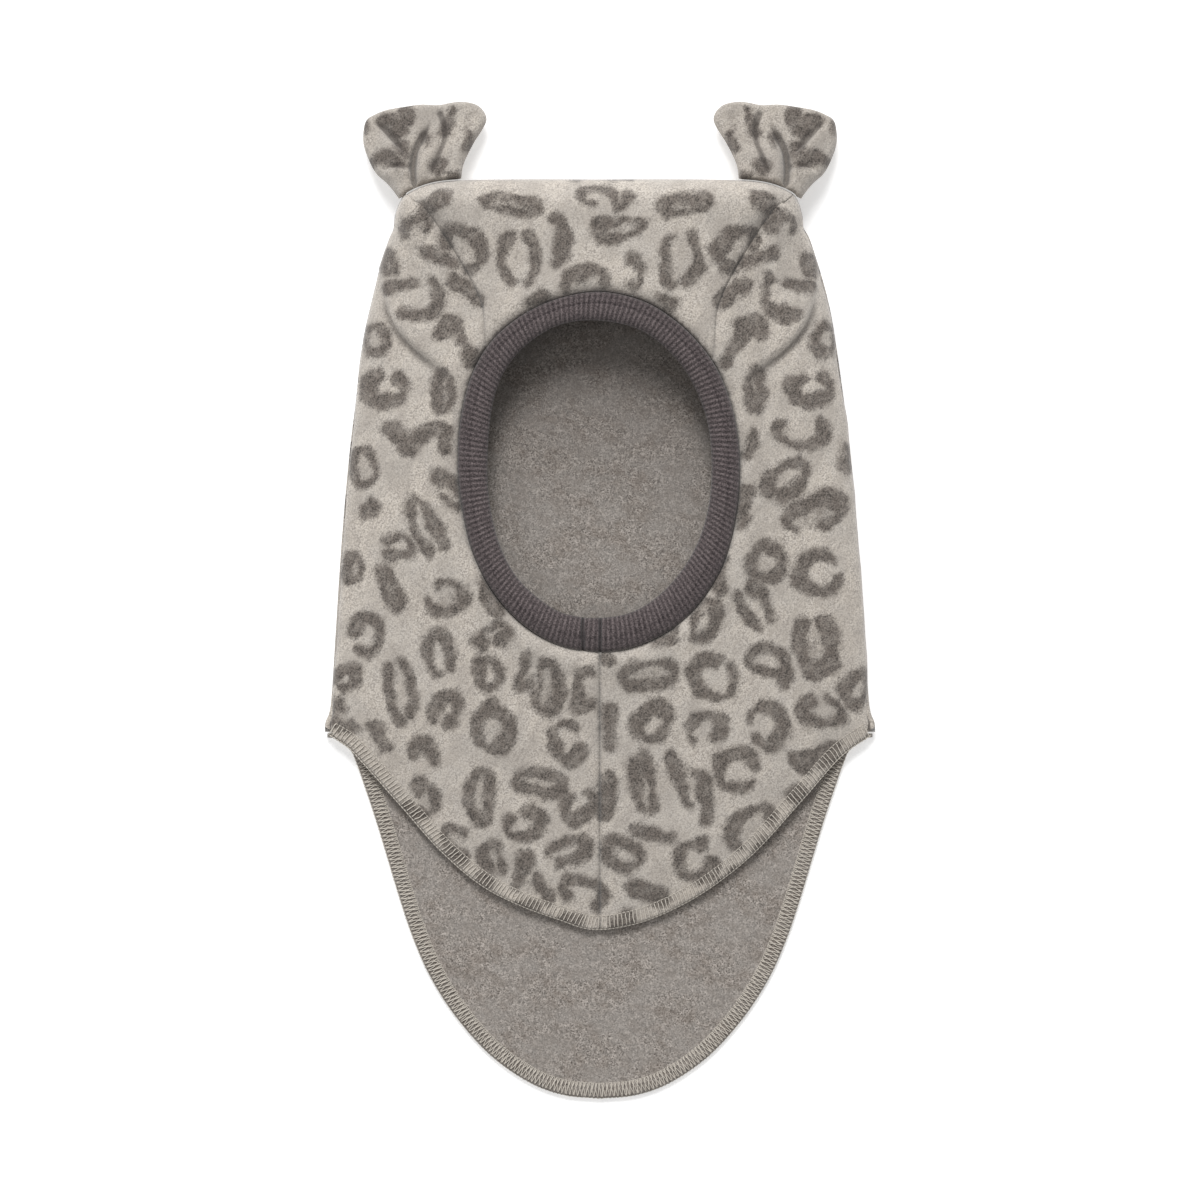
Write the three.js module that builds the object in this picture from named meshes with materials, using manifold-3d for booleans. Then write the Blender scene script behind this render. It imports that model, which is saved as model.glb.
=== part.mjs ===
// Baby balaclava with ears, lying on its back: a hood of brushed wool jersey with a round face opening,
// a short bib at the front, a longer bib at the back, a ribbed band round the face and two pleated ears.
//
// Millimetres. +X is the wearer's left, +Y runs from the bibs to the crown, +Z points up from the surface
// that the hood lies on. The origin is on that surface, in the middle of the hood's length and width.
//
// The cloth is one wall round an empty sack. The sack is a stack of flattened rings along Y, closed at the
// crown. A front hem and a back hem cut it to length, the face opening is cut through its upper layer, and
// seams part it into the panels that are sewn together: one back panel, which comes over the crown to the
// forehead, and two front panels, which meet below the chin.
import * as THREE from "three";
import { mergeVertices } from "three/addons/utils/BufferGeometryUtils.js";
import Module from "manifold-3d";

const wasm = await Module();
wasm.setup();

// ---- Driving dimensions ----
const WALL = 2.2; // brushed wool jersey
const GAP = 0.3; // between pieces that are sewn together
const CROWN_TOP = 175; // Y of the crown's edge
const CROWN_NARROWING = 29; // how much the half width shrinks over the crown's rounded edge
const CROWN_SHAPE = 0.75; // below 1 the crown's corners are fuller
const ARCH = 2.2; // exponent of the upper layer's rise from the sides to the middle
const SEAM_HEIGHT = 4; // Z of the side seams, on the fold
const FACE = { centreY: 53.4, halfWidth: 59.3, halfHeight: 74.8 }; // opening in the cloth
const BAND_HOLE = { centreY: 54.6, halfWidth: 45.4, halfHeight: 60.9 }; // opening in the rib band
const BAND_THICKNESS = 6;
const EAR_THICKNESS = 9;

const RING_COLUMNS = 56;
const CROWN_STEPS = 6;
const ROWS_PER_STATION = 3;
const FACE_STEPS = 60;
const HIGH = 80; // a height above everything

// One row for each ring of the hood, from the crown down. halfWidth is to the side fold, top is the height of
// the upper layer in the middle, and fold is the outer radius of the side fold.
const STATIONS = [
  { y: 161, halfWidth: 83.0, top: 27.0, fold: 6.0 },
  { y: 150, halfWidth: 87.6, top: 28.0, fold: 5.0 },
  { y: 137, halfWidth: 91.9, top: 28.0, fold: 4.5 },
  { y: 112, halfWidth: 97.7, top: 26.8, fold: 4.2 },
  { y: 75, halfWidth: 102.7, top: 24.8, fold: 4.0 },
  { y: 25, halfWidth: 107.7, top: 21.4, fold: 4.0 },
  { y: -25, halfWidth: 111.5, top: 17.4, fold: 4.0 },
  { y: -50, halfWidth: 114.4, top: 15.0, fold: 4.0 },
  { y: -75, halfWidth: 116.5, top: 12.6, fold: 4.0 },
  { y: -105, halfWidth: 118.0, top: 10.6, fold: 4.0 },
  { y: -140, halfWidth: 119.0, top: 9.2, fold: 4.0 },
  { y: -214, halfWidth: 120.0, top: 9.0, fold: 4.0 },
];

// Hem of the front bib, from its right corner round to its left one. It dips once, beside the chin seam.
const FRONT_HEM = [
  { x: -115.0, y: -52.5 },
  { x: -104.0, y: -62.0 },
  { x: -86.0, y: -80.0 },
  { x: -69.0, y: -97.5 },
  { x: -52.0, y: -115.5 },
  { x: -38.0, y: -123.5 },
  { x: -18.0, y: -130.5 },
  { x: -6.0, y: -136.6 },
  { x: 10.0, y: -135.8 },
  { x: 27.0, y: -132.2 },
  { x: 44.0, y: -123.4 },
  { x: 62.0, y: -108.5 },
  { x: 82.0, y: -89.5 },
  { x: 100.0, y: -68.0 },
  { x: 115.0, y: -52.5 },
];

// Hem of the back bib, its left half from the corner to the middle.
const BACK_HEM = [
  { x: 115.0, y: -52.5 },
  { x: 104.2, y: -62.7 },
  { x: 99.0, y: -75.0 },
  { x: 91.0, y: -100.0 },
  { x: 80.6, y: -133.5 },
  { x: 74.0, y: -150.0 },
  { x: 65.2, y: -167.0 },
  { x: 52.3, y: -183.5 },
  { x: 31.5, y: -200.2 },
  { x: 14.8, y: -206.5 },
  { x: 0.0, y: -208.0 },
];

// Seam from the face opening to the ear, on the left side.
const CROWN_SEAM = [
  { x: 46.7, y: 100.0 },
  { x: 46.7, y: 113.0 },
  { x: 48.4, y: 124.0 },
  { x: 62.9, y: 147.3 },
  { x: 78.0, y: 168.0 },
  { x: 92.0, y: 190.0 },
];

// The left ear, from inside the crown's seam to its tip: a row across it has an outer and an inner end.
// middle is the height of the row's middle, and pleat the depth of the fold down the ear's front.
const EAR_ROWS = [
  { outerX: 78.0, outerY: 157.0, innerX: 58.0, innerY: 163.0, middle: 13.0, pleat: 2.0 },
  { outerX: 83.2, outerY: 165.0, innerX: 57.8, innerY: 170.5, middle: 12.6, pleat: 3.5 },
  { outerX: 87.0, outerY: 171.0, innerX: 57.4, innerY: 176.0, middle: 11.6, pleat: 4.0 },
  { outerX: 93.2, outerY: 177.0, innerX: 56.2, innerY: 182.0, middle: 10.2, pleat: 4.0 },
  { outerX: 96.6, outerY: 183.5, innerX: 53.6, innerY: 188.0, middle: 8.8, pleat: 3.2 },
  { outerX: 98.6, outerY: 190.2, innerX: 50.6, innerY: 194.0, middle: 7.4, pleat: 2.0 },
  { outerX: 98.3, outerY: 196.8, innerX: 47.5, innerY: 199.8, middle: 6.2, pleat: 1.2 },
  { outerX: 95.0, outerY: 202.0, innerX: 48.6, innerY: 204.4, middle: 5.5, pleat: 0.6 },
  { outerX: 86.0, outerY: 205.4, innerX: 56.0, innerY: 208.0, middle: 5.0, pleat: 0.0 },
];
const PLEAT_AT = 0.55; // share of the ear's width, from its outer edge
const PLEAT_WIDTH = 0.12;
const EAR_COLUMNS = 14;

// ---- Curves ----
// Values of a table's columns between its rows, on a smooth curve through them.
function smoothRows(rows, steps) {
  const keys = Object.keys(rows[0]);
  const at = (i) => rows[Math.min(Math.max(i, 0), rows.length - 1)];
  const made = [];
  for (let i = 0; i < rows.length - 1; i++) {
    for (let k = 0; k < steps; k++) {
      const t = k / steps;
      const row = {};
      for (const key of keys) {
        const [a, b, c, d] = [at(i - 1)[key], at(i)[key], at(i + 1)[key], at(i + 2)[key]];
        row[key] =
          b + (t * (c - a + t * (2 * a - 5 * b + 4 * c - d + t * (3 * (b - c) + d - a)))) / 2;
      }
      made.push(row);
    }
  }
  made.push({ ...rows[rows.length - 1] });
  return made;
}

const BODY_ROWS = smoothRows(STATIONS, ROWS_PER_STATION);

// Rings of the sack from the crown down, each taken in by inset on every side.
function ringRows(inset) {
  const first = STATIONS[0];
  const rows = [];
  for (let k = 0; k < CROWN_STEPS; k++) {
    const angle = (Math.PI / 2) * (1 - k / CROWN_STEPS);
    const open = Math.cos(angle);
    const thick = (first.top - 2 * inset) * open;
    const bottom = (first.top - thick) / 2;
    rows.push({
      y: first.y + (CROWN_TOP - inset - first.y) * Math.sin(angle),
      halfWidth: first.halfWidth - inset - CROWN_NARROWING * (1 - open) ** CROWN_SHAPE,
      bottom,
      top: bottom + thick,
      fold: Math.min(thick / 2, first.fold - inset + (1 - open) * first.fold),
    });
  }
  for (const row of BODY_ROWS) {
    rows.push({
      y: row.y,
      halfWidth: row.halfWidth - inset,
      bottom: inset,
      top: row.top - inset,
      fold: row.fold - inset,
    });
  }
  rows[rows.length - 1].y -= 2 * inset; // an inner sack runs out through the outer one's end
  return rows;
}

// How far up a quarter circle of that radius is, at a distance in from the side.
function quarterRound(distance, radius) {
  const share = radius > 0 ? Math.min(Math.max(distance / radius, 0), 1) : 1;
  return radius * Math.sqrt(1 - (1 - share) ** 2);
}

function upperHeight(row, x) {
  const side = quarterRound(row.halfWidth - Math.abs(x), row.fold);
  const arch = 1 - (Math.abs(x) / row.halfWidth) ** ARCH;
  return row.bottom + row.fold + side + (row.top - row.bottom - 2 * row.fold) * arch;
}

function lowerHeight(row, x) {
  return row.bottom + row.fold - quarterRound(row.halfWidth - Math.abs(x), row.fold);
}

// Height of the hood's upper surface over a point, between the crown's edge and the hems.
function clothHeight(x, y) {
  const rows = BODY_ROWS;
  const next = Math.min(Math.max(rows.findIndex((row) => row.y < y), 1), rows.length - 1);
  const [a, b] = [rows[next - 1], rows[next]];
  const t = (a.y - y) / (a.y - b.y);
  const mix = (key) => a[key] + t * (b[key] - a[key]);
  const row = { halfWidth: mix("halfWidth"), bottom: 0, top: mix("top"), fold: mix("fold") };
  return upperHeight(row, x);
}

// ---- Solids ----
// A closed geometry as a solid that can be joined and cut.
function solidOf(geometry) {
  const plain = geometry.index ? geometry.toNonIndexed() : geometry.clone();
  plain.deleteAttribute("normal");
  plain.deleteAttribute("uv");
  const merged = mergeVertices(plain, 1e-4);
  return new wasm.Manifold(
    new wasm.Mesh({
      numProp: 3,
      vertProperties: new Float32Array(merged.attributes.position.array),
      triVerts: new Uint32Array(merged.index.array),
    }),
  );
}

function geometryOf(solid) {
  const mesh = solid.getMesh();
  const geometry = new THREE.BufferGeometry();
  geometry.setAttribute("position", new THREE.BufferAttribute(mesh.vertProperties, 3));
  geometry.setIndex(new THREE.BufferAttribute(mesh.triVerts, 1));
  return geometry;
}

// A closed surface through rings of points, each ring a loop of the same length. The first and last rings
// are closed with a fan, apart from a ring whose two sides already coincide.
function skinOf(rings, capFirst) {
  const positions = [];
  const triangle = (...points) => points.forEach((p) => positions.push(p.x, p.y, p.z));
  const fan = (ring, turned) => {
    const centre = ring.reduce((sum, p) => sum.add(p), new THREE.Vector3()).divideScalar(ring.length);
    ring.forEach((p, i) => {
      const q = ring[(i + 1) % ring.length];
      if (turned) triangle(centre, q, p);
      else triangle(centre, p, q);
    });
  };
  for (let j = 0; j + 1 < rings.length; j++) {
    const [upper, lower] = [rings[j], rings[j + 1]];
    upper.forEach((a, i) => {
      const n = (i + 1) % upper.length;
      triangle(a, lower[n], lower[i]);
      triangle(a, upper[n], lower[n]);
    });
  }
  if (capFirst) fan(rings[0], true);
  fan(rings[rings.length - 1], false);
  const geometry = new THREE.BufferGeometry();
  geometry.setAttribute("position", new THREE.Float32BufferAttribute(positions, 3));
  return geometry;
}

// The hood as a filled sack, taken in by inset: its ring columns start at the left side fold, cross the
// upper layer to the right fold and come back below.
function sack(inset) {
  const rings = ringRows(inset).map((row) =>
    Array.from({ length: RING_COLUMNS }, (_, i) => {
      const angle = (2 * Math.PI * i) / RING_COLUMNS;
      const x = row.halfWidth * Math.cos(angle);
      const upper = i <= RING_COLUMNS / 2;
      return new THREE.Vector3(x, row.y, upper ? upperHeight(row, x) : lowerHeight(row, x));
    }),
  );
  return solidOf(skinOf(rings, false));
}

// An upright block over an outline of points, from one height to another.
function block(outline, low, high) {
  const shape = new THREE.Shape(outline.map((p) => new THREE.Vector2(p.x, p.y)));
  const geometry = new THREE.ExtrudeGeometry(shape, { depth: high - low, bevelEnabled: false });
  geometry.translate(0, 0, low);
  return solidOf(geometry);
}

const mirrored = (points) => points.map((p) => ({ x: -p.x, y: p.y })).reverse();

function ellipse({ centreY, halfWidth, halfHeight }, steps) {
  return Array.from({ length: steps }, (_, i) => {
    const angle = (2 * Math.PI * i) / steps;
    return { x: halfWidth * Math.cos(angle), y: centreY + halfHeight * Math.sin(angle) };
  });
}

// ---- Hood panels ----
const cloth = sack(0).subtract(sack(WALL));
const opening = block(ellipse(FACE, FACE_STEPS), SEAM_HEIGHT, HIGH);
const FAR = 140; // past the hood's widest point
const PAST_CROWN = 200;
const frontHem = smoothRows(FRONT_HEM, 3);
const backHem = smoothRows(BACK_HEM, 3);

// The upper layer between the front hem and the crown.
const aboveFrontHem = block(
  [{ x: -FAR, y: PAST_CROWN }, { x: -FAR, y: FRONT_HEM[0].y }, ...frontHem, { x: FAR, y: FRONT_HEM[0].y }, { x: FAR, y: PAST_CROWN }],
  SEAM_HEIGHT + GAP / 2,
  HIGH,
);

// One side's front panel: outward of the crown seam, and on its own side of the chin seam.
function frontPanelZone(side) {
  const outline = [
    { x: GAP / 2, y: CROWN_SEAM[0].y },
    ...CROWN_SEAM,
    { x: FAR, y: CROWN_SEAM[CROWN_SEAM.length - 1].y },
    { x: FAR, y: -FAR },
    { x: GAP / 2, y: -FAR },
  ];
  return block(side > 0 ? outline : mirrored(outline), SEAM_HEIGHT, HIGH);
}

const frontPanel = (side) =>
  cloth.intersect(aboveFrontHem).intersect(frontPanelZone(side)).subtract(opening);

// The back panel lies below the side seams and comes over the crown between the two crown seams.
const backZone = block(
  [...backHem, ...mirrored(backHem).slice(1), { x: -FAR, y: BACK_HEM[0].y }, { x: -FAR, y: PAST_CROWN }, { x: FAR, y: PAST_CROWN }, { x: FAR, y: BACK_HEM[0].y }],
  -1,
  SEAM_HEIGHT - GAP / 2,
);
const foreheadSeam = CROWN_SEAM.map((p) => ({ x: p.x - GAP, y: p.y }));
const foreheadZone = block(
  [...foreheadSeam, ...mirrored(foreheadSeam)],
  SEAM_HEIGHT - GAP,
  HIGH,
);
const backPanel = cloth.intersect(backZone.add(foreheadZone)).subtract(opening);

// ---- Face band ----
// Section of the folded rib strip, from the cloth's edge inwards: in is the share of the strip's width, and
// low and high are shares of its half thickness.
const BAND_SECTION = [
  { in: 0.0, low: -0.55, high: 0.3 },
  { in: 0.12, low: -0.8, high: 0.7 },
  { in: 0.42, low: -1.0, high: 1.0 },
  { in: 0.78, low: -0.9, high: 0.75 },
  { in: 0.95, low: -0.55, high: 0.3 },
];

function faceBand() {
  const outer = ellipse(
    { ...FACE, halfWidth: FACE.halfWidth - GAP, halfHeight: FACE.halfHeight - GAP },
    FACE_STEPS,
  );
  const inner = ellipse(BAND_HOLE, FACE_STEPS);
  const corners = [
    ...BAND_SECTION.map((row) => [row.in, row.high]),
    [1, -0.15],
    ...BAND_SECTION.map((row) => [row.in, row.low]).reverse(),
  ];
  const positions = [];
  const point = (i, [share, level]) => {
    const [from, to] = [outer[i], inner[i]];
    const height = clothHeight(from.x, from.y) - WALL / 2 + (level * BAND_THICKNESS) / 2;
    return [from.x + share * (to.x - from.x), from.y + share * (to.y - from.y), height];
  };
  for (let i = 0; i < FACE_STEPS; i++) {
    const n = (i + 1) % FACE_STEPS;
    corners.forEach((corner, k) => {
      const next = corners[(k + 1) % corners.length];
      positions.push(...point(i, corner), ...point(n, corner), ...point(n, next));
      positions.push(...point(i, corner), ...point(n, next), ...point(i, next));
    });
  }
  const geometry = new THREE.BufferGeometry();
  geometry.setAttribute("position", new THREE.Float32BufferAttribute(positions, 3));
  return solidOf(geometry);
}

// ---- Ears ----
// A padded fan, thick along its middle and thin at its edges, with one pleat down its front.
function ear(side) {
  const rings = EAR_ROWS.map((row, j) => {
    const tip = j === EAR_ROWS.length - 1 ? 0.35 : 1;
    const half = (EAR_THICKNESS / 2) * tip;
    const place = (share, upper) => {
      const edge = Math.sqrt(Math.max(0, 1 - (2 * share - 1) ** 4));
      const fold = row.pleat * Math.exp(-(((share - PLEAT_AT) / PLEAT_WIDTH) ** 2));
      const height = row.middle + (upper ? half * edge - fold * edge : -half * edge * 0.9);
      const x = row.outerX + share * (row.innerX - row.outerX);
      const y = row.outerY + share * (row.innerY - row.outerY);
      return new THREE.Vector3(side * x, y, height);
    };
    const shares = Array.from({ length: EAR_COLUMNS + 1 }, (_, i) => (1 - Math.cos((Math.PI * i) / EAR_COLUMNS)) / 2);
    const loop = [
      ...shares.map((share) => place(share, true)),
      ...shares.slice(1, -1).reverse().map((share) => place(share, false)),
    ];
    return side > 0 ? loop.reverse() : loop;
  });
  return solidOf(skinOf(rings, true)).subtract(sack(-GAP));
}

// ---- Assembly ----
const LEOPARD_CLOTH = { color: 0xbdb4ab, roughness: 0.95, metalness: 0 };
const RIB_KNIT = { color: 0x5c5455, roughness: 0.9, metalness: 0 };

const hat = new THREE.Group();
function addPiece(name, solid, finish) {
  const piece = new THREE.Mesh(geometryOf(solid), new THREE.MeshStandardMaterial(finish));
  piece.name = name;
  hat.add(piece);
}

addPiece("back_panel", backPanel, LEOPARD_CLOTH);
addPiece("front_panel_left", frontPanel(1), LEOPARD_CLOTH);
addPiece("front_panel_right", frontPanel(-1), LEOPARD_CLOTH);
addPiece("face_band", faceBand(), RIB_KNIT);
addPiece("ear_left", ear(1), LEOPARD_CLOTH);
addPiece("ear_right", ear(-1), LEOPARD_CLOTH);

export default hat;
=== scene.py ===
"""Baby balaclava hat with ears, lying on its back on a pale floor.

Every length is in millimetres until a mesh is made. +X is the wearer's left, +Y runs from the bibs to the
crown, +Z is up. The hood is an empty sack: an upper and a lower surface over the plan that meet round the
silhouette. Each panel is triangulated in plan, laid on those surfaces, relieved by its seams and folds, and
given the cloth's thickness. The leopard print is a signed distance to charted motifs, kept on the
vertices; the shader frays its edge.
"""

import math

import bpy
import numpy as np
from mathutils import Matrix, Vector, noise
from mathutils.geometry import delaunay_2d_cdt
from mathutils.kdtree import KDTree


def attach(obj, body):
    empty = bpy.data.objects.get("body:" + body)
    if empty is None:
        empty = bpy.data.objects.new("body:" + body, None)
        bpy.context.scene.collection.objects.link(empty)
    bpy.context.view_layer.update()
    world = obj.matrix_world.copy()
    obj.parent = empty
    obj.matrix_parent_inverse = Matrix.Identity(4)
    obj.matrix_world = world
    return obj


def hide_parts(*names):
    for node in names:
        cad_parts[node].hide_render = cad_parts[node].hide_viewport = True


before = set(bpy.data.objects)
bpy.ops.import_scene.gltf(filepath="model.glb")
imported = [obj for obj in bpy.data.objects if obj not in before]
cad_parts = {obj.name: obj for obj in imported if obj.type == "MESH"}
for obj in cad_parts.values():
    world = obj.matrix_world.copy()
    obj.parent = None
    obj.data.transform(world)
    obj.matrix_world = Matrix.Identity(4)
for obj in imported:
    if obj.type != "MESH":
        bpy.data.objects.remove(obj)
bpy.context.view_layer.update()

MM = 0.001

# ---- Dimensions of the hood ----
WALL = 2.0  # thickness of the brushed jersey
NET = 1.35  # distance between a panel's points, fine enough for the print
HEM_CORNER_Y = -55.0

# Half width of the hood, from the crown's corner to the hem's corner. Nine rows here and nine in BACK_HEM
# are edge places that a script measured in the photo, turned into millimetres.
SIDE = (  # y, half_width
    (161.0, 82.9),
    (155.0, 84.8),
    (150.0, 87.6),
    (137.0, 91.9),
    (125.0, 95.2),
    (112.0, 97.7),
    (87.0, 101.3),
    (62.0, 104.5),
    (25.0, 107.8),
    (-13.0, 110.3),
    (-38.0, 111.9),
    (-46.5, 112.9),
    (-51.0, 114.6),
    (HEM_CORNER_Y, 114.8),
)
# Crown's edge, from the side round the corner to the middle.
CROWN = (  # x, y
    (82.2, 165.0),
    (80.4, 168.6),
    (74.0, 171.8),
    (66.0, 173.8),
    (54.0, 174.6),
    (30.0, 174.9),
    (0.0, 174.8),
)

# How the hood stands up from the floor: heights of its upper surface in the middle and of its side fold.
HEIGHTS = (  # y, top, fold
    (175.0, 27.0, 13.5),
    (168.0, 27.4, 12.8),
    (161.0, 27.8, 10.8),
    (150.0, 28.0, 7.0),
    (137.0, 28.0, 5.0),
    (112.0, 26.8, 4.2),
    (75.0, 24.8, 4.0),
    (25.0, 21.4, 4.0),
    (-25.0, 17.2, 4.0),
    (-50.0, 14.6, 4.0),
    (-75.0, 12.0, 4.0),
    (-105.0, 9.6, 4.0),
    (-140.0, 8.0, 4.0),
    (-215.0, 8.0, 4.0),
)
ARCH = 2.2

# Hole in the cloth and hole in the rib band, each round from below the chin by the wearer's left.
FACE_EDGE = (  # x, y
    (-1.0, -21.8),
    (13.0, -20.0),
    (26.0, -14.6),
    (35.6, -7.6),
    (44.0, 2.0),
    (51.2, 14.5),
    (55.6, 29.0),
    (57.8, 45.0),
    (58.0, 61.0),
    (55.6, 77.5),
    (49.6, 94.0),
    (41.4, 106.0),
    (31.0, 115.9),
    (17.5, 123.9),
    (0.0, 127.6),
    (-17.0, 124.9),
    (-32.0, 118.2),
    (-44.8, 107.6),
    (-53.2, 93.6),
    (-57.8, 76.5),
    (-59.2, 59.0),
    (-57.9, 41.0),
    (-53.4, 21.0),
    (-45.0, 3.9),
    (-33.0, -9.6),
    (-18.0, -18.6),
)
BAND_EDGE = (  # x, y
    (-0.5, -7.4),
    (11.5, -5.6),
    (22.5, 0.4),
    (32.8, 10.8),
    (40.4, 23.6),
    (45.0, 39.0),
    (46.3, 56.0),
    (44.6, 73.0),
    (39.0, 88.4),
    (30.0, 101.4),
    (16.6, 111.6),
    (0.0, 115.4),
    (-15.6, 114.0),
    (-28.6, 107.0),
    (-38.4, 96.6),
    (-44.0, 83.0),
    (-46.4, 64.0),
    (-46.2, 44.0),
    (-42.0, 24.0),
    (-33.6, 8.4),
    (-20.0, -3.2),
    (-9.4, -6.8),
)

FRONT_HEM = (  # x, y, from the wearer's right corner to the left one
    (-115.0, HEM_CORNER_Y),
    (-105.8, -60.4),
    (-97.5, -69.0),
    (-82.9, -85.6),
    (-66.3, -104.4),
    (-49.6, -118.6),
    (-32.9, -127.3),
    (-16.3, -133.3),
    (-5.8, -136.8),
    (4.6, -136.8),
    (21.3, -132.7),
    (42.1, -122.3),
    (62.9, -106.3),
    (83.8, -83.5),
    (100.4, -65.0),
    (115.0, HEM_CORNER_Y),
)
BACK_HEM = (  # x, y, from the corner to the middle
    (115.0, HEM_CORNER_Y),
    (104.6, -62.0),
    (101.9, -67.0),
    (99.0, -75.0),
    (93.3, -92.0),
    (88.3, -108.5),
    (83.3, -125.0),
    (77.5, -142.0),
    (70.0, -158.5),
    (59.2, -175.0),
    (45.0, -190.5),
    (29.0, -201.5),
    (14.8, -206.6),
    (0.0, -208.0),
)
CROWN_SEAM = (  # x, y
    (46.4, 92.0),
    (47.6, 108.4),
    (49.3, 122.0),
    (56.6, 137.3),
    (70.4, 158.6),
    (80.4, 168.6),
)
CHEEK_FOLD = (  # x, y
    (91.6, 137.0),
    (88.6, 124.0),
    (84.0, 113.5),
    (77.0, 105.2),
    (69.4, 98.9),
    (62.4, 93.4),
    (57.0, 89.0),
)
CHIN_SEAM_X = 0.0
SEAM_GAP = 0.01  # from a seam to each panel beside it


def curve(table, at):
    """A table's second column, read at many places of its first, on a smooth curve through its rows."""
    rows = sorted(table)
    x = np.array([row[0] for row in rows])
    y = np.array([row[1] for row in rows])
    slope = np.gradient(y, x)
    at = np.clip(at, x[0], x[-1])
    i = np.clip(np.searchsorted(x, at) - 1, 0, len(x) - 2)
    width = x[i + 1] - x[i]
    t = (at - x[i]) / width
    return (
        (1 + 2 * t) * (1 - t) ** 2 * y[i]
        + t * (1 - t) ** 2 * width * slope[i]
        + t * t * (3 - 2 * t) * y[i + 1]
        + t * t * (t - 1) * width * slope[i + 1]
    )


def smooth_path(points, spacing, closed=False):
    """A smooth curve through 2-D points, as points an even distance apart."""
    p = np.array(points, float)
    if closed:
        ring = np.vstack([p[-1], p, p[0], p[1]])
    else:
        ring = np.vstack([2 * p[0] - p[1], p, 2 * p[-1] - p[-2]])
    t = np.linspace(0, 1, 24, endpoint=False)[:, None]
    fine = []
    for a, b, c, d in zip(ring, ring[1:], ring[2:], ring[3:]):
        fine.append(b + t * (c - a + t * (2 * a - 5 * b + 4 * c - d + t * (3 * (b - c) + d - a))) / 2)
    fine = np.vstack(fine + [ring[-2:-1]])
    return even(fine, spacing)


def even(path, spacing):
    """A path's points set an even distance apart, with both ends kept."""
    step = np.linalg.norm(np.diff(path, axis=0), axis=1)
    length = np.concatenate([[0], np.cumsum(step)])
    count = max(2, int(round(length[-1] / spacing)) + 1)
    at = np.linspace(0, length[-1], count)
    return np.stack([np.interp(at, length, path[:, k]) for k in range(path.shape[1])], axis=1)


def mirror(path):
    return path[::-1] * np.array([-1.0, 1.0])


def near_path(points, path):
    """Each point's distance to a path, its nearest place on it, and its share of the way along."""
    tree = KDTree(len(path))
    for k, (x, y) in enumerate(path):
        tree.insert((x, y, 0.0), k)
    tree.balance()
    nearest = np.array([tree.find((x, y, 0.0))[1] for x, y in points])
    best = np.full(len(points), 1e9)
    place = np.zeros((len(points), 2))
    along = np.zeros(len(points))
    for first in (np.maximum(nearest - 1, 0), np.minimum(nearest, len(path) - 2)):
        a, ab = path[first], path[first + 1] - path[first]
        t = np.clip(((points - a) * ab).sum(1) / np.maximum((ab**2).sum(1), 1e-12), 0, 1)
        q = a + t[:, None] * ab
        d = np.linalg.norm(points - q, axis=1)
        closer = d < best
        best[closer], place[closer] = d[closer], q[closer]
        along[closer] = ((first + t) / (len(path) - 1))[closer]
    return best, place, along


def inside(points, outline):
    """Whether each point is inside a closed outline."""
    x0, y0 = outline[:, 0], outline[:, 1]
    x1, y1 = np.roll(x0, -1), np.roll(y0, -1)
    result = np.zeros(len(points), bool)
    for lo in range(0, len(points), 4000):
        x, y = points[lo : lo + 4000, 0, None], points[lo : lo + 4000, 1, None]
        spans = (y0 > y) != (y1 > y)
        with np.errstate(divide="ignore", invalid="ignore"):
            crosses = x < x0 + (y - y0) * (x1 - x0) / (y1 - y0)
        result[lo : lo + 4000] = (spans & crosses).sum(1) % 2 == 1
    return result


# ---- Silhouette and the two surfaces ----
side_path = np.array([(half, y) for y, half in sorted(SIDE)])
half_edge = smooth_path(np.vstack([side_path, CROWN]), 0.8)
SILHOUETTE = np.vstack([half_edge, mirror(half_edge)[1:]])
# Below the hem's corners the plan goes straight on, so the bibs are far from any fold.
FAR_CORNER = (118.0, -230.0)
EXTENDED = np.vstack([[FAR_CORNER], SILHOUETTE, [(-FAR_CORNER[0], FAR_CORNER[1])]])


def quarter(share):
    return np.sqrt(np.clip(1 - (1 - np.clip(share, 0, 1)) ** 2, 0, 1))


def hood(points):
    """Distance to the silhouette, the way out to it, and the fold's radius, for plan points."""
    d, place, _ = near_path(points, EXTENDED)
    out = place - points
    size = np.linalg.norm(out, axis=1, keepdims=True)
    return d, out / np.maximum(size, 1e-6), curve([(y, f) for y, _, f in HEIGHTS], points[:, 1])


def upper_surface(points):
    d, _, fold = hood(points)
    y = points[:, 1]
    half = curve(SIDE, np.clip(y, HEM_CORNER_Y, SIDE[0][0])) + np.maximum(0, HEM_CORNER_Y - y) * 0.04
    top = curve([(y, t) for y, t, _ in HEIGHTS], y)
    arch = 1 - np.clip(np.abs(points[:, 0]) / half, 0, 1) ** ARCH
    return fold + quarter(d / fold) * (fold + (top - 2 * fold) * arch)


def lower_surface(points):
    d, _, fold = hood(points)
    return fold * (1 - quarter(d / fold))


def unrolled(points):
    """Plan points of the upper surface moved out to where they lie on the flat cloth."""
    d, out, fold = hood(points)
    share = np.clip(1 - d / fold, 0, 1)
    return points + out * (fold * (np.arcsin(share) - share))[:, None]


# ---- Leopard print ----
REPEAT = (232.0, 314.0)
EAR_REPEAT = (90.0, 60.0)
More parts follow.
